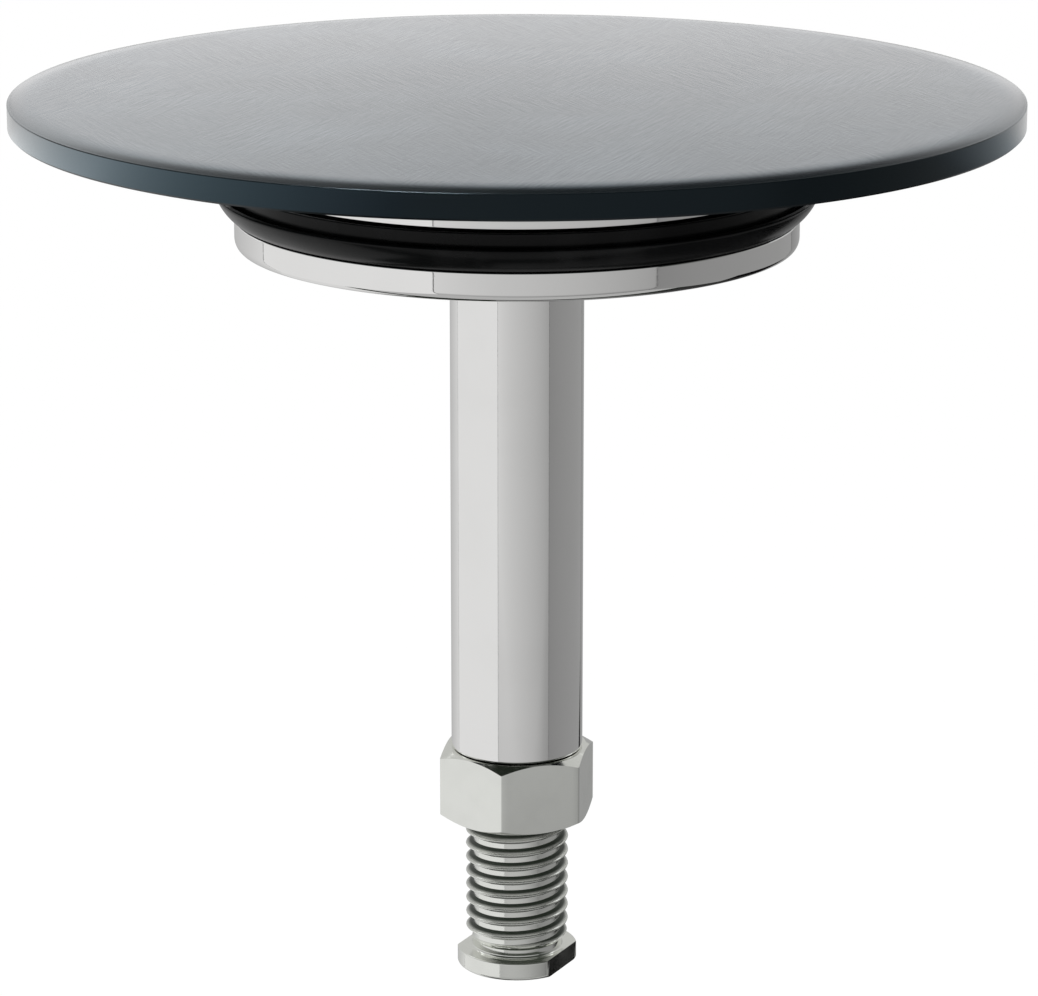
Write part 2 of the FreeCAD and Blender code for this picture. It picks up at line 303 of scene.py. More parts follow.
def slateFinish():
    material, tree, shader, place = newFinish("coverSlate")
    first, second = [placeGroup(tree, brushLines, place, Angle=angle, **slate["strokes"])
                     for angle in slate["strokeAngles"]]
    chooser = placeGroup(tree, softPatches, place, **slate["chooser"])
    clouds = placeGroup(tree, softPatches, place, **slate["clouds"])
    blooms = placeGroup(tree, softPatches, place, **slate["blooms"])
    strokes = addNode(tree, "ShaderNodeMix")
    tree.links.new(chooser, strokes.inputs[0])
    tree.links.new(first, strokes.inputs[2])
    tree.links.new(second, strokes.inputs[3])
    height = addNode(tree, "ShaderNodeSeparateXYZ")
    tree.links.new(place, height.inputs[0])
    top = spreadFrom(tree, height.outputs["Z"], *slate["brushedAbove"])
    marks = mathOf(tree, "MULTIPLY", strokes.outputs[0], top)
    paleness = mathOf(tree, "MULTIPLY", marks, mixValues(tree, clouds, *slate["cloudRange"]))
    colour = mixColours(tree, top, slate["deep"], slate["brushed"])
    colour = mixColours(tree, paleness, colour, slate["pale"])
    colour = mixColours(tree, mathOf(tree, "MULTIPLY", blooms, top), colour, slate["bloom"])
    tree.links.new(colour, shader.inputs["Base Color"])
    tree.links.new(mixValues(tree, marks, *slate["roughness"]), shader.inputs["Roughness"])
    shader.inputs["IOR"].default_value = slate["ior"]
    shader.inputs["Specular Tint"].default_value = (*slate["gleam"], 1)
    addBump(tree, shader, marks, *slate["bump"])
    return material


# polished chrome plate of hub and stem
chrome = {
    "colour": (0.94, 0.935, 0.925),
    "dulled": (0.92, 0.915, 0.905),
    "roughness": (0.03, 0.06),
    "haze": {"Scale": 140, "Detail": 4, "Low": 0.4, "High": 0.7},
    "hairs": {"Angle": 0.3, "Fineness": 5200, "Stretch": 3, "Low": 0.62, "High": 0.75},
    "bump": (0.03, 0.00001),
}


def chromeFinish():
    material, tree, shader, place = newFinish("polishedChrome")
    shader.inputs["Metallic"].default_value = 1
    haze = placeGroup(tree, softPatches, place, **chrome["haze"])
    hairs = placeGroup(tree, brushLines, place, **chrome["hairs"])
    tree.links.new(mixColours(tree, haze, chrome["colour"], chrome["dulled"]), shader.inputs["Base Color"])
    tree.links.new(mixValues(tree, haze, *chrome["roughness"]), shader.inputs["Roughness"])
    addBump(tree, shader, hairs, *chrome["bump"])
    return material


# bright plate of the nut and screw, a little green and softer than the chrome
plate = {
    "colour": (0.9, 0.91, 0.87),
    "dulled": (0.87, 0.88, 0.84),
    "roughness": (0.1, 0.13),
    "haze": {"Scale": 420, "Detail": 4, "Low": 0.42, "High": 0.72},
    "hairs": {"Angle": 0.0, "Fineness": 7000, "Stretch": 2.5, "Low": 0.55, "High": 0.75},
    "bump": (0.04, 0.00001),
}
# painted shade on the thread: its upper flanks get a dull dark colour, darkest next to its roots, in place of
# the shade that falls into the grooves; lengths in metres
paintedRootShade = {
    "colour": (0.019, 0.028, 0.0175),
    "inside": (0.00345, 0.00384),
    "facing": (0.05, 0.35),
    "above": (-0.0538, -0.0536),
    "shine": 0.2,
    "roughness": 0.3,
}


# where the painted root shade lies: near the axis, on faces that look up, above the neck
def paintedRootShadeMask(tree, place):
    spot = addNode(tree, "ShaderNodeSeparateXYZ")
    tree.links.new(place, spot.inputs[0])
    flat = addNode(tree, "ShaderNodeCombineXYZ")
    tree.links.new(spot.outputs["X"], flat.inputs["X"])
    tree.links.new(spot.outputs["Y"], flat.inputs["Y"])
    reach = addNode(tree, "ShaderNodeVectorMath", operation="LENGTH")
    tree.links.new(flat.outputs["Vector"], reach.inputs[0])
    facing = addNode(tree, "ShaderNodeSeparateXYZ")
    tree.links.new(place.node.outputs["Normal"], facing.inputs[0])
    inside = mathOf(tree, "SUBTRACT", 1.0, spreadFrom(tree, reach.outputs["Value"], *paintedRootShade["inside"]))
    upper = mathOf(tree, "MULTIPLY", inside, spreadFrom(tree, facing.outputs["Z"], *paintedRootShade["facing"]))
    return mathOf(tree, "MULTIPLY", upper, spreadFrom(tree, spot.outputs["Z"], *paintedRootShade["above"]))


def plateFinish(name, withPaintedRootShade):
    material, tree, shader, place = newFinish(name)
    shader.inputs["Metallic"].default_value = 1
    haze = placeGroup(tree, softPatches, place, **plate["haze"])
    hairs = placeGroup(tree, brushLines, place, **plate["hairs"])
    colour = mixColours(tree, haze, plate["colour"], plate["dulled"])
    roughness = mixValues(tree, haze, *plate["roughness"])
    if withPaintedRootShade:
        # painted shade in the thread's grooves: darker, duller, less metallic colour where the mask lies
        mask = paintedRootShadeMask(tree, place)
        colour = mixColours(tree, mask, colour, paintedRootShade["colour"])
        roughness = mathOf(tree, "ADD", roughness, mixValues(tree, mask, 0, paintedRootShade["roughness"]))
        tree.links.new(mixValues(tree, mask, 1, paintedRootShade["shine"]), shader.inputs["Metallic"])
    tree.links.new(colour, shader.inputs["Base Color"])
    tree.links.new(roughness, shader.inputs["Roughness"])
    addBump(tree, shader, hairs, *plate["bump"])
    return material


# smooth black rubber of the lip seal
rubber = {
    "colour": (0.003, 0.0032, 0.0034),
    "dusty": (0.007, 0.0072, 0.0074),
    "roughness": (0.18, 0.25),
    "gloss": 0.14,
    "bloom": {"Scale": 260, "Detail": 5, "Low": 0.45, "High": 0.75},
    "grain": {"Scale": 9000, "Detail": 2, "Low": 0.3, "High": 0.7},
    "bump": (0.08, 0.00001),
}


def rubberFinish():
    material, tree, shader, place = newFinish("blackRubber")
    shader.inputs["Specular IOR Level"].default_value = rubber["gloss"]
    bloom = placeGroup(tree, softPatches, place, **rubber["bloom"])
    grain = placeGroup(tree, softPatches, place, **rubber["grain"])
    tree.links.new(mixColours(tree, bloom, rubber["colour"], rubber["dusty"]), shader.inputs["Base Color"])
    tree.links.new(mixValues(tree, bloom, *rubber["roughness"]), shader.inputs["Roughness"])
    addBump(tree, shader, grain, *rubber["bump"])
    return material


coverSlate = slateFinish()
polishedChrome = chromeFinish()
brightPlate = plateFinish("brightPlate", False)
# the thread's plate carries painted shade in its roots
threadPlate = plateFinish("threadPlate", True)
blackRubber = rubberFinish()
print("finishes made")


# cover disc: flat top that rolls off softly towards a narrow rounded edge, fine bevel below
cover = {"rollStart": 33.0, "rollDrop": 0.235, "rollSteps": 20, "edgeRound": 0.075, "lowBevel": 0.15,
         "topRings": (12, 24), "lowRing": 20, "sides": 288}


def coverPiece():
    low, high, reach = nodeSpan("cover_disc")
    edge = cover["edgeRound"]
    profile = [(r, high) for r in (0, *cover["topRings"])]
    run = reach - edge - cover["rollStart"]
    for i in range(cover["rollSteps"] + 1):
        t = i / cover["rollSteps"]
        profile.append((cover["rollStart"] + run * t, high - cover["rollDrop"] * t ** 3))
    top = high - cover["rollDrop"]
    profile += arc(reach - edge, top - edge, edge, 78, 0, 8)
    profile += [(reach, low + cover["lowBevel"]), (reach - cover["lowBevel"], low)]
    profile += [(cover["lowRing"], low), (0, low)]
    bm = bmesh.new()
    turnProfile(bm, profile, cover["sides"])
    return finishPiece("coverPlate", bm, coverSlate, "stopper", "cover_disc")


# seal hub: spool with the seal's groove, hollow above its floor about the stud's boss
hub = {"lowRound": (0.34, 0.6), "edge": 0.06, "bandEdge": 0.18, "grooveLow": 1.0, "grooveHigh": 3.86,
       "grooveDepth": 1.6, "wall": 2.0, "floor": 2.2, "boss": 6.0, "bore": 3.05, "sides": 256}


def hubPiece():
    low, high, reach = nodeSpan("seal_hub")
    groove = reach - hub["grooveDepth"]
    wide, tall = hub["lowRound"]
    profile = [(hub["bore"], low)]
    profile += [(reach - wide + wide * r, low + tall + tall * z) for r, z in arc(0, 0, 1, -90, 0, 14)]
    profile += arc(reach - hub["edge"], hub["grooveLow"] - hub["edge"], hub["edge"], 0, 90, 4)
    profile += [(groove, hub["grooveLow"]), (groove, hub["grooveHigh"])]
    profile += arc(reach - hub["bandEdge"], hub["grooveHigh"] + hub["bandEdge"], hub["bandEdge"], -90, 0, 6)
    profile += [(reach, high), (groove - hub["wall"], high), (groove - hub["wall"], low + hub["floor"])]
    profile += [(hub["boss"], low + hub["floor"]), (hub["boss"], high), (hub["bore"], high)]
    bm = bmesh.new()
    turnProfile(bm, profile, hub["sides"])
    return finishPiece("hubSpool", bm, polishedChrome, "stopper", "seal_hub")


# lip seal: bead above, root of the groove between, lip that swells outward and up to a thin rim
seal = {"bead": 20.7, "beadRound": 0.09, "lipRise": 1.82, "lipRim": 0.4, "lipRound": 0.12, "rootRise": 0.87,
        "inside": 18.63, "foot": 20.2, "footRun": 0.2, "footRise": 0.05, "lipBulge": 17, "rootRound": 0.1,
        "rootStep": 0.12, "sides": 256}


def sealPiece():
    low, high, reach = nodeSpan("lip_seal")
    inside = seal["inside"]
    lip = low + seal["lipRise"]
    root = low + seal["rootRise"]
    rnd = seal["lipRound"]
    profile = [(inside, low), (seal["foot"] - seal["footRun"], low)]
    # the lip's outside is an arc over the straight line from its foot to its rim
    start = Vector((seal["foot"], low + seal["footRise"]))
    end = Vector((reach, lip - rnd))
    slope = math.degrees(math.atan2(end.x - start.x, end.y - start.y))
    radius = (end - start).length / 2 / math.sin(math.radians(seal["lipBulge"]))
    first = math.radians(slope + seal["lipBulge"])
    centre = start - Vector((math.cos(first), -math.sin(first))) * radius
    profile += arc(centre.x, centre.y, radius, -slope - seal["lipBulge"], seal["lipBulge"] - slope, 14)
    profile += arc(reach - rnd, lip - rnd, rnd, 10, 90, 6)
    profile += [(reach - seal["lipRim"], lip), (seal["bead"] + seal["rootRound"], root + seal["rootStep"])]
    profile += [(seal["bead"], root), (seal["bead"], high - seal["beadRound"])]
    profile += arc(seal["bead"] - seal["beadRound"], high - seal["beadRound"], seal["beadRound"], 10, 90, 6)
    profile += [(inside, high)]
    bm = bmesh.new()
    turnProfile(bm, profile, seal["sides"])
    return finishPiece("lipRing", bm, blackRubber, "stopper", "lip_seal")


# stem: round bar with a bore for the stud above and for the screw below
stem = {"edge": 0.15, "studBore": 3.05, "studDepth": 8.0, "screwBore": 3.85, "screwDepth": 20.0,
        "mouth": 0.25, "sides": 192}


def stemPiece():
    low, high, reach = nodeSpan("stem")
    mouth = stem["mouth"]
    studEnd, screwEnd = high - stem["studDepth"], low + stem["screwDepth"]
    profile = [(0, studEnd), (stem["studBore"], studEnd), (stem["studBore"], high), (reach, high)]
    profile += arc(reach - stem["edge"], low + stem["edge"], stem["edge"], 0, -90, 5)
    profile += [(stem["screwBore"] + mouth, low), (stem["screwBore"], low + mouth)]
    profile += [(stem["screwBore"], screwEnd), (0, screwEnd)]
    bm = bmesh.new()
    turnProfile(bm, profile, stem["sides"])
    return finishPiece("stemBar", bm, polishedChrome, "stopper", "stem")


# lock nut: hexagon with eased corners, turned down to a cone at both ends
nut = {"flat": 5.2, "turn": 19, "cornerRound": 0.14, "cone": 30, "ringInset": 0.06, "brace": 0.04,
       "bore": 3.85, "mouth": 0.25, "flatSteps": 14, "cornerSteps": 4}


def nutOutline():
    points = []
    rnd = nut["cornerRound"]
    middle = (nut["flat"] - rnd) / math.cos(math.radians(30))
    for k in range(6):
        corner = math.radians(nut["turn"] + 60 * k)
        x, y = middle * math.cos(corner), middle * math.sin(corner)
        rounded = []
        for i in range(nut["cornerSteps"] + 1):
            a = corner + math.radians(-30 + 60 * i / nut["cornerSteps"])
            rounded.append(Vector((x + rnd * math.cos(a), y + rnd * math.sin(a))))
        points.append(rounded)
    outline = []
    for k in range(6):
        outline += points[k]
        start, end = points[k][-1], points[(k + 1) % 6][0]
        for i in range(1, nut["flatSteps"]):
            outline.append(start.lerp(end, i / nut["flatSteps"]))
    return outline


def nutPiece():
    low, high = nodeSpan("lock_nut")[:2]
    slope = math.tan(math.radians(nut["cone"]))
    ring = nut["flat"] - nut["ringInset"]
    brace, bore, mouth = nut["brace"], nut["bore"], nut["mouth"]
    bm = bmesh.new()
    columns = []
    for p in nutOutline():
        out = p.normalized()
        far = p.length
        drop = (far - ring) * slope
        profile = [(bore + mouth, high), (ring - brace, high), (ring, high), (far, high - drop)]
        profile += [(far, high - drop - brace), (far, low + drop + brace), (far, low + drop)]
        profile += [(ring, low), (ring - brace, low), (bore + mouth, low)]
        profile += [(bore, low + mouth), (bore, high - mouth)]
        column = []
        for r, z in profile:
            column.append(bm.verts.new((out.x * r * mm, out.y * r * mm, z * mm)))
        columns.append(column)
    for c in range(len(columns)):
        joinRings(bm, columns[c], columns[(c + 1) % len(columns)])
    return finishPiece("hexNut", bm, brightPlate, "lock_nut", "lock_nut", sharp=20)


# adjusting screw: rolled thread by rule, turned neck and flanged foot with two spanner flats
screw = {
    "crest": 3.8, "root": 3.25, "end": 3.3, "pitch": 1.08, "crestHeight": -45.37, "threadLow": -54.1,
    "land": 0.12, "rounding": 0.4, "rootLand": 0.43, "rootRounding": 0.2,
    "stepsAlong": 84, "stepsAcross": 28, "seam": 0.002,
    "neck": 3.32, "neckRound": 0.22, "plug": ((3.32, -0.02), (3.25, 0.02), (3.0, 0.3), (0, 0.3)),
    "foot": 4.45, "footRound": 0.25, "footEdge": 0.06, "footTop": -54.75, "footSides": 192,
    "flat": 3.775, "flatTurn": 152.3,
}


def threadTree():
    tree = bpy.data.node_groups.new("rolledThread", "GeometryNodeTree")
    floats = ("Low", "High", "Crest Radius", "Root Radius", "End Radius", "Pitch", "Crest Height",
              "Land", "Rounding", "Root Land", "Root Rounding")
    kinds = [(label, "Float") for label in floats]
    kinds += [(label, "Int") for label in ("Turns", "Steps Along", "Steps Across")]
    for label, kind in kinds + [("Finish", "Material")]:
        tree.interface.new_socket(name=label, in_out="INPUT", socket_type="NodeSocket" + kind)
    tree.interface.new_socket(name="Geometry", in_out="OUTPUT", socket_type="NodeSocketGeometry")
    given = tree.nodes.new("NodeGroupInput").outputs
    result = tree.nodes.new("NodeGroupOutput")
    link = tree.links.new

    def calc(operation, *values):
        node = addNode(tree, "ShaderNodeMath", operation=operation)
        for slot, value in enumerate(values):
            if isinstance(value, (int, float)):
                node.inputs[slot].default_value = value
            else:
                link(value, node.inputs[slot])
        return node.outputs[0]

    # a flat ribbon, long side along the thread and short side from root to root
    ribbon = tree.nodes.new("GeometryNodeMeshGrid")
    ribbon.inputs["Size X"].default_value = 1
    ribbon.inputs["Size Y"].default_value = 1
    link(calc("ADD", calc("MULTIPLY", given["Turns"], given["Steps Along"]), 1), ribbon.inputs["Vertices X"])
    link(calc("ADD", given["Steps Across"], 1), ribbon.inputs["Vertices Y"])
    spot = tree.nodes.new("ShaderNodeSeparateXYZ")
    link(tree.nodes.new("GeometryNodeInputPosition").outputs["Position"], spot.inputs[0])
    turn = calc("MULTIPLY", calc("ADD", spot.outputs["X"], 0.5), given["Turns"])
    across = spot.outputs["Y"]
    # right-handed, starting at the front a whole number of turns below the given crest height
    angle = calc("SUBTRACT", calc("MULTIPLY", turn, 2 * math.pi), math.pi / 2)
    rise = calc("SUBTRACT", given["Crest Height"], given["Low"])
    below = calc("CEIL", calc("DIVIDE", rise, given["Pitch"]))
    climb = calc("SUBTRACT", calc("ADD", turn, across), calc("ADD", below, 1))
    height = calc("MULTIPLY_ADD", climb, given["Pitch"], given["Crest Height"])
    height = calc("MINIMUM", calc("MAXIMUM", height, given["Low"]), given["High"])
    # crest and root with lands of the given parts of the pitch, flanks straight, corners rounded
    outer = calc("SUBTRACT", 1, given["Root Land"])
    flank = calc("SUBTRACT", outer, calc("MULTIPLY", calc("ABSOLUTE", across), 2))
    flank = calc("DIVIDE", flank, calc("SUBTRACT", outer, given["Land"]))
    wave = calc("SMOOTH_MIN", flank, 1, given["Rounding"])
    wave = calc("SMOOTH_MAX", wave, 0, given["Root Rounding"])
    depth = calc("SUBTRACT", given["Crest Radius"], given["Root Radius"])
    ridge = calc("MULTIPLY_ADD", wave, depth, given["Root Radius"])
    inward = calc("MINIMUM", calc("SUBTRACT", height, given["Low"]), calc("SUBTRACT", given["High"], height))
    radius = calc("MINIMUM", ridge, calc("ADD", given["End Radius"], inward))
    moved = tree.nodes.new("ShaderNodeCombineXYZ")
    link(calc("MULTIPLY", calc("COSINE", angle), radius), moved.inputs["X"])
    link(calc("MULTIPLY", calc("SINE", angle), radius), moved.inputs["Y"])
    link(height, moved.inputs["Z"])
    shape = tree.nodes.new("GeometryNodeSetPosition")
    link(ribbon.outputs["Mesh"], shape.inputs["Geometry"])
    link(moved.outputs[0], shape.inputs["Position"])
    sewn = tree.nodes.new("GeometryNodeMergeByDistance")
    sewn.inputs["Distance"].default_value = screw["seam"] * mm
    whole = tree.nodes.new("GeometryNodeRealizeInstances")
    finish = tree.nodes.new("GeometryNodeSetMaterial")
    link(shape.outputs["Geometry"], sewn.inputs["Geometry"])
    link(sewn.outputs["Geometry"], whole.inputs["Geometry"])
    link(whole.outputs["Geometry"], finish.inputs["Geometry"])
    link(given["Finish"], finish.inputs["Material"])
    link(finish.outputs["Geometry"], result.inputs["Geometry"])
    return tree


def threadMesh(high):
    tree = threadTree()
    holder = bpy.data.objects.new("threadHolder", bpy.data.meshes.new("threadHolder"))
    scene.collection.objects.link(holder)
    modifier = holder.modifiers.new("thread", "NODES")
    modifier.node_group = tree
    low = screw["threadLow"]
    values = {
        "Low": low * mm, "High": high * mm, "Crest Radius": screw["crest"] * mm,
        "Root Radius": screw["root"] * mm, "End Radius": screw["end"] * mm,
        "Pitch": screw["pitch"] * mm, "Crest Height": screw["crestHeight"] * mm,
        "Land": screw["land"], "Rounding": screw["rounding"],
        "Root Land": screw["rootLand"], "Root Rounding": screw["rootRounding"],
        "Turns": math.ceil((high - low) / screw["pitch"]) + 3,
        "Steps Along": screw["stepsAlong"], "Steps Across": screw["stepsAcross"], "Finish": threadPlate,
    }
    for item in tree.interface.items_tree:
        if item.in_out == "INPUT":
            modifier[item.identifier] = values[item.name]
    ready = holder.evaluated_get(bpy.context.evaluated_depsgraph_get())
    mesh = bpy.data.meshes.new_from_object(ready)
    holder.modifiers.remove(modifier)
    bpy.data.objects.remove(holder)
    print("thread made with", len(mesh.polygons), "faces")
    return mesh


def screwPiece():
    low, high = nodeSpan("adjusting_screw")[:2]
    foot, top, edge = screw["foot"], screw["footTop"], screw["footEdge"]
    lowRound, rnd = screw["footRound"], screw["neckRound"]
    profile = [(0, low)]
    profile += arc(foot - lowRound, low + lowRound, lowRound, -90, 0, 6)
    profile += arc(foot - edge, top - edge, edge, 0, 90, 3)
    profile += arc(screw["neck"] + rnd, top + rnd, rnd, 270, 180, 6)
    profile += [(r, screw["threadLow"] + z) for r, z in screw["plug"]]
    bm = bmesh.new()
    turnProfile(bm, profile, screw["footSides"])
    for side in (1, -1):
        a = math.radians(screw["flatTurn"])
        out = Vector((math.cos(a), math.sin(a), 0)) * side
        cut = bmesh.ops.bisect_plane(bm, geom=bm.verts[:] + bm.edges[:] + bm.faces[:], dist=1e-8,
                                     plane_co=out * screw["flat"] * mm, plane_no=out, clear_outer=True)
        rim = [g for g in cut["geom_cut"] if isinstance(g, bmesh.types.BMEdge)]
        bmesh.ops.contextual_create(bm, geom=rim)
    thread = bmesh.new()
    thread.from_mesh(threadMesh(high))
    bmesh.ops.dissolve_degenerate(thread, dist=weld, edges=thread.edges[:])
    bmesh.ops.holes_fill(thread, edges=[e for e in thread.edges if e.is_boundary])
    closed = bpy.data.meshes.new("closedThread")
    thread.to_mesh(closed)
    thread.free()
    bm.from_mesh(closed)
    return finishPiece("adjusterScrew", bm, threadPlate, "adjusting_screw", "adjusting_screw",
                       sharp=40)


coverPiece()
hubPiece()
sealPiece()
stemPiece()
nutPiece()
screwPiece()
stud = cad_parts["cover_stud"]
stud.data.materials.clear()
stud.data.materials.append(brightPlate)
print("pieces made")


# stage: white surroundings, a pale floor well below, and a ring of cards that the metal reflects
room = {
    "half": 0.5,
    "turn": 12,
    "bottom": -0.4,
    "top": 0.18,
    "left": (0.75, 0.75),
    "front": (0.655, 0.345),
    "frontLow": (-0.215, 0.5),
    "right": (0.24, 0.32),
    "back": (0.25, 0.68),
    "horizons": {"left": 0.0, "front": -0.05, "right": -0.1, "back": 0.0},
    "shade": (0.013, 0.017, 0.0125),
    "dim": (0.05, 0.056, 0.048),
    "frontFade": 0.11,
    "haze": (0.55, 0.55, 0.54),
    "fadePlace": 0.99,
    "post": 0.005,
    "postPlace": 0.985,
    "postLevel": 0.06,
    "ground": ((-0.6, 0.7), (-0.3, 0.7), (0.25, 0.03), (0.6, 0.03)),
    "groundReach": 0.6,
    "groundFront": 0.44,
    "lowShade": {"top": -0.25, "along": 0.54, "place": 0.98, "level": 0.003},
    "groundStrip": (-0.14, -0.05),
    "groundPatch": (-0.18, -0.03, -0.05, 0.16),
    "patchLift": 0.001,
}
# strips close to the cover: one behind it for the top, one round it for the rim
strips = {
    "backPlace": 0.075,
    "backSides": ((-0.05, 1.13), (-0.036, 1.1), (0, 1.0), (0.036, 1.02), (0.05, 1.05)),
    "backSteps": (
        (0.010, 1.0, (1.2, 1.2, 1.2)),
        (0.0145, 1.0, (1.95, 1.95, 1.95)),
        (0.019, 1.0, (1.65, 1.63, 1.63)),
        (0.024, 1.05, (1.2, 1.18, 1.19)),
        (0.032, 1.1, (1.07, 1.09, 1.11)),
        (0.051, 1.1, (1.1, 1.15, 1.18)),
    ),
    "backTops": (0.045, 0.0475, 0.051, 0.0435, 0.04),
    "backLifts": (1.6, 1.3, 1.0, 1.06, 1.3),
    "liftShares": ((-1, 1.0), (-2, 0.4)),
    "shadeLevels": (1.0, 0.4, 0.03, 0.05, 0.5),
    "shadeTop": 0.12,
    "wing": {"low": (0.0455, 0.0096), "high": (0.054, 0.036), "far": 0.1, "place": 0.045,
             "tint": (1.35, 1.38, 1.4)},
    "rimHeight": 0.004,
    "rimReach": (0.041, 0.11),
    "rimStep": 8,
    "rimStops": (
        (75, (0.2, 0.22, 0.24)), (83, (0.5, 0.56, 0.6)), (97, (0.75, 0.83, 0.88)), (108, (1.15, 1.15, 1.15)),
        (245, (1.2, 1.2, 1.2)), (251, (1.3, 1.3, 1.3)), (266, (2.4, 2.5, 2.55)), (288, (3.7, 4.1, 4.3)),
        (310, (2.3, 2.6, 2.7)), (332, (1.1, 1.2, 1.3)), (350, (0.2, 0.22, 0.24)),
    ),
}


def cardFinish(name, upperSide):
    material = bpy.data.materials.new(name)
    material.use_nodes = True
    tree = material.node_tree
    tree.nodes.clear()
    out = tree.nodes.new("ShaderNodeOutputMaterial")
    glow = tree.nodes.new("ShaderNodeEmission")
    tint = addNode(tree, "ShaderNodeAttribute", attribute_name="tint")
    tree.links.new(tint.outputs["Color"], glow.inputs["Color"])
    tree.links.new(glow.outputs["Emission"], out.inputs["Surface"])
    if upperSide:
        side = tree.nodes.new("ShaderNodeNewGeometry")
        choice = tree.nodes.new("ShaderNodeMixShader")
        clear = tree.nodes.new("ShaderNodeBsdfTransparent")
        tree.links.new(side.outputs["Backfacing"], choice.inputs[0])
        tree.links.new(glow.outputs["Emission"], choice.inputs[1])
        tree.links.new(clear.outputs["BSDF"], choice.inputs[2])
        tree.links.new(choice.outputs["Shader"], out.inputs["Surface"])
    return material


cardTint = cardFinish("cardTint", False)
upperCardTint = cardFinish("upperCardTint", True)


# a card that only reflections see: quads between two lines of points, a grey or a colour at each point
def addCard(name, lower, upper, lowerTints, upperTints, finish=cardTint):
    count = len(lower)
    mesh = bpy.data.meshes.new(name)
    quads = [(i, i + 1, count + i + 1, count + i) for i in range(count - 1)]
    mesh.from_pydata(lower + upper, [], quads)
    tint = mesh.attributes.new("tint", "FLOAT_COLOR", "POINT")
    for i, value in enumerate(list(lowerTints) + list(upperTints)):
        tint.data[i].color = (*value, 1) if isinstance(value, tuple) else (value, value, value, 1)
    mesh.materials.append(finish)
    card = bpy.data.objects.new(name, mesh)
    scene.collection.objects.link(card)
    card.visible_camera = False
    card.visible_diffuse = False
    card.visible_shadow = False


# upright card over a line of the plan
def addWall(name, a, b, low, high, start, end):
    addCard(name, [(a.x, a.y, low), (b.x, b.y, low)], [(a.x, a.y, high), (b.x, b.y, high)],
            (start, end), (start, end))


# level card between two lines of the plan
def addLevelCard(name, z, near, far, level):
    addCard(name, [(p.x, p.y, z) for p in near], [(p.x, p.y, z) for p in far], (level, level), (level, level))


# point of the plan in a direction, in degrees from the viewer's side towards the right
def planPoint(degrees, reach):
    a = math.radians(degrees)
    return Vector((math.sin(a) * reach, -math.cos(a) * reach, 0))


def addRoom():
    plan = [planPoint(d + room["turn"], room["half"] * math.sqrt(2)) for d in (-135, -45, 45, 135)]
    low, high = room["bottom"], room["top"]
    shade, haze, dim = room["shade"], room["haze"], room["dim"]
    upper = {"left": (haze, shade), "front": (dim, dim), "right": (shade, haze), "back": (haze, haze)}
    for i, name in enumerate(("left", "front", "right", "back")):
        a, b, mid = plan[i], plan[(i + 1) % 4], room["horizons"][name]
        foot, gain = room["frontLow"] if name == "front" else (mid, 1)
        addCard(name + "Low", [(a.x, a.y, low), (b.x, b.y, low)], [(a.x, a.y, foot), (b.x, b.y, foot)],
                [level * gain for level in room[name]], room[name])
        if foot < mid:
            addWall(name + "Card", a, b, foot, mid, *room[name])
        addWall(name + "Upper", a, b, mid, high, *upper[name])
        side = Vector((-a.y, a.x, 0)).normalized() * room["post"] / 2
        post, level = a * room["postPlace"], room["postLevel"]
        addWall(name + "Post", post - side, post + side, low, mid, level, level)
    leftHalf, rightHalf = plan[0].lerp(plan[1], 0.5), plan[2].lerp(plan[3], 0.5)
    addLevelCard("ceilingFront", high, (plan[1], plan[2]), (leftHalf, rightHalf), dim)
    ends = [p * room["fadePlace"] for p in plan[1:3]]
    addCard("frontFade", [(p.x, p.y, room["horizons"]["front"]) for p in ends],
            [(p.x, p.y, room["frontFade"]) for p in ends], room["front"], (dim, dim))
    addLevelCard("ceilingBack", high, (leftHalf, rightHalf), (plan[0], plan[3]), haze)
    dark = room["lowShade"]
    start = plan[2].lerp(plan[3], dark["along"]) * dark["place"]
    addWall("lowShade", start, plan[3] * dark["place"], low, dark["top"], dark["level"], dark["level"])
    wide = room["groundReach"]
    edge, inner = room["groundStrip"]
    tints = [level for x, level in room["ground"]]
    addCard("groundCard", [(x, inner, low) for x, level in room["ground"]],
            [(x, wide, low) for x, level in room["ground"]], tints, tints)
    addLevelCard("groundStrip", low, (Vector((-wide, edge)), Vector((wide, edge))),
                 (Vector((-wide, inner)), Vector((wide, inner))), shade)
    left, right, near, far = room["groundPatch"]
    addLevelCard("groundPatch", low + room["patchLift"], (Vector((left, near)), Vector((right, near))),
                 (Vector((left, far)), Vector((right, far))), shade)
    addLevelCard("groundFront", low, (Vector((-wide, -wide)), Vector((wide, -wide))),
                 (Vector((-wide, edge)), Vector((wide, edge))), room["groundFront"])


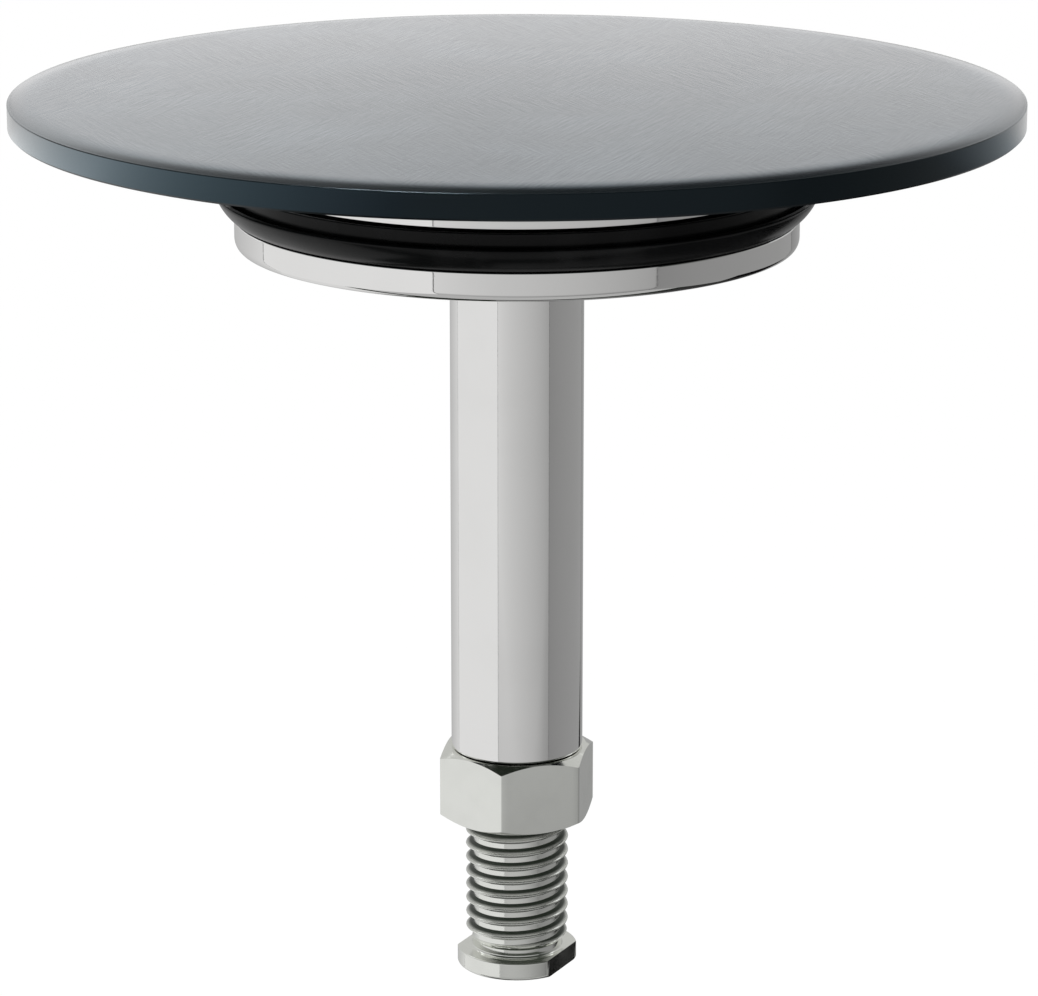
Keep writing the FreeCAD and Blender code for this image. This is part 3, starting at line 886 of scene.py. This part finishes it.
def addStrips():
    y, sides, steps = strips["backPlace"], strips["backSides"], strips["backSteps"]
    lines, rows = [], []
    for z, flare, tint in steps:
        lines.append([(x * flare, y, z) for x, gain in sides])
        rows.append([tuple(c * gain for c in tint) for x, gain in sides])
    lines[-1] = [(p[0], y, z) for p, z in zip(lines[-1], strips["backTops"])]
    for row, share in strips["liftShares"]:
        lifts = [lift ** share for lift in strips["backLifts"]]
        rows[row] = [tuple(c * lift for c in tint) for tint, lift in zip(rows[row], lifts)]
    for i in range(len(steps) - 1):
        addCard("topGlow" + str(i), lines[i], lines[i + 1], rows[i], rows[i + 1])
    above = [(p[0], y, strips["shadeTop"]) for p in lines[-1]]
    addCard("topShade", lines[-1], above, strips["shadeLevels"], strips["shadeLevels"])
    wing = strips["wing"]
    (lowX, low), (highX, high) = wing["low"], wing["high"]
    far, y, tints = wing["far"], wing["place"], (wing["tint"], wing["tint"])
    for name, side in (("leftWing", -1), ("rightWing", 1)):
        lower = [(side * lowX, y, low), (side * far, y, low)]
        upper = [(side * highX, y, high), (side * far, y, high)]
        addCard(name, lower, upper, tints, tints)
    # level ring below the rim, clear from below so that only the rim sees it
    z, (inner, outer) = strips["rimHeight"], strips["rimReach"]
    turns, tints = [], []
    for (start, startTint), (end, endTint) in zip(strips["rimStops"], strips["rimStops"][1:]):
        count = math.ceil((end - start) / strips["rimStep"])
        for i in range(count):
            turns.append(start + (end - start) * i / count)
            tints.append(tuple(Vector(startTint).lerp(Vector(endTint), i / count)))
    lines = []
    for reach in (outer, inner):
        lines.append([(p.x, p.y, z) for p in (planPoint(turn, reach) for turn in turns)])
    addCard("rimGlow", lines[0], lines[1], tints, tints, upperCardTint)


# pale floor, well below the foot
floor = {"half": 8, "height": -0.42, "colour": (1, 1, 1)}


def addFloor():
    half, z = floor["half"], floor["height"]
    corners = [(-half, -half, z), (half, -half, z), (half, half, z), (-half, half, z)]
    mesh = bpy.data.meshes.new("paleFloor")
    mesh.from_pydata(corners, [], [(0, 1, 2, 3)])
    material = bpy.data.materials.new("paleFloor")
    material.use_nodes = True
    tree = material.node_tree
    tree.nodes.clear()
    out = tree.nodes.new("ShaderNodeOutputMaterial")
    diffuse = tree.nodes.new("ShaderNodeBsdfDiffuse")
    diffuse.inputs["Color"].default_value = (*floor["colour"], 1)
    tree.links.new(diffuse.outputs[0], out.inputs["Surface"])
    mesh.materials.append(material)
    plane = bpy.data.objects.new("paleFloor", mesh)
    scene.collection.objects.link(plane)


# small lamp above the cover's near left edge
lamps = {
    "edgeLamp": {"place": (-0.05, -0.034, 0.175), "aim": (-0.05, -0.034, 0), "size": (0.05, 0.02),
                 "watts": 0.5},
}


def addLamps():
    for name, lamp in lamps.items():
        data = bpy.data.lights.new(name, "AREA")
        data.shape = "RECTANGLE"
        data.size, data.size_y = lamp["size"]
        data.energy = lamp["watts"]
        light = bpy.data.objects.new(name, data)
        light.location = lamp["place"]
        light.rotation_euler = (Vector(lamp["aim"]) - light.location).to_track_quat("-Z", "Y").to_euler()
        scene.collection.objects.link(light)


def addWorld():
    world = bpy.data.worlds.new("whiteSurroundings")
    world.use_nodes = True
    back = world.node_tree.nodes["Background"]
    back.inputs["Color"].default_value = (1, 1, 1, 1)
    back.inputs["Strength"].default_value = 1
    scene.world = world


# camera fitted to the photograph's outlines
view = {"focal": 4235.28, "width": 1038, "sensor": 36, "axisColumn": 516.98,
        "distance": 0.29732, "height": 0.06213, "pitch": 15.47}


def addCamera():
    data = bpy.data.cameras.new("photoView")
    data.sensor_fit = "HORIZONTAL"
    data.sensor_width = view["sensor"]
    data.lens = view["focal"] * view["sensor"] / view["width"]
    data.shift_x = 0.5 - view["axisColumn"] / view["width"]
    data.clip_start = 0.01
    camera = bpy.data.objects.new("photoView", data)
    camera.location = (0, -view["distance"], view["height"])
    camera.rotation_euler = (math.radians(90 - view["pitch"]), 0, 0)
    scene.collection.objects.link(camera)
    scene.camera = camera


addRoom()
addStrips()
addFloor()
addLamps()
addWorld()
addCamera()
scene.view_settings.view_transform = "Standard"
print("stage made")
